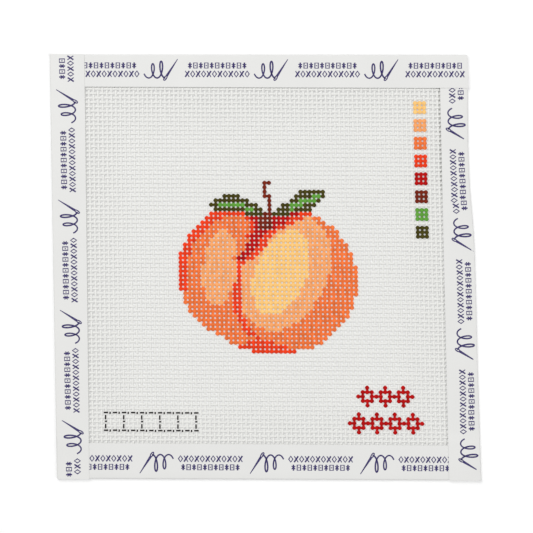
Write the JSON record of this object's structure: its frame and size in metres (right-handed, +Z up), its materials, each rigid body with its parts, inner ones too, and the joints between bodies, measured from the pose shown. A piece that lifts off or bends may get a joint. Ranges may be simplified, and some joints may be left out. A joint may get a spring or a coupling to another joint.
{
  "type": "needlepoint canvas",
  "caption": "Square of open woven canvas with a painted fruit design, bound on all edges with folded tape, ready to be stitched.",
  "frame": {"origin": "centre of the bounding box at its lowest face, on the surface that the sheet lies on", "axes": "+Z up, out of the painted face; +Y towards the top of the picture; +X to its right"},
  "size_m": [0.189, 0.1864, 0.0019],
  "materials": {
    "canvas": "sized white cotton, plain weave, painted by hand",
    "tape": "smooth white cotton tape with a navy print"
  },
  "bodies": {
    "root": {"canvas": "canvas", "tape_top": "tape", "tape_right": "tape", "tape_bottom": "tape", "tape_left": "tape"}
  },
  "joints": []
}
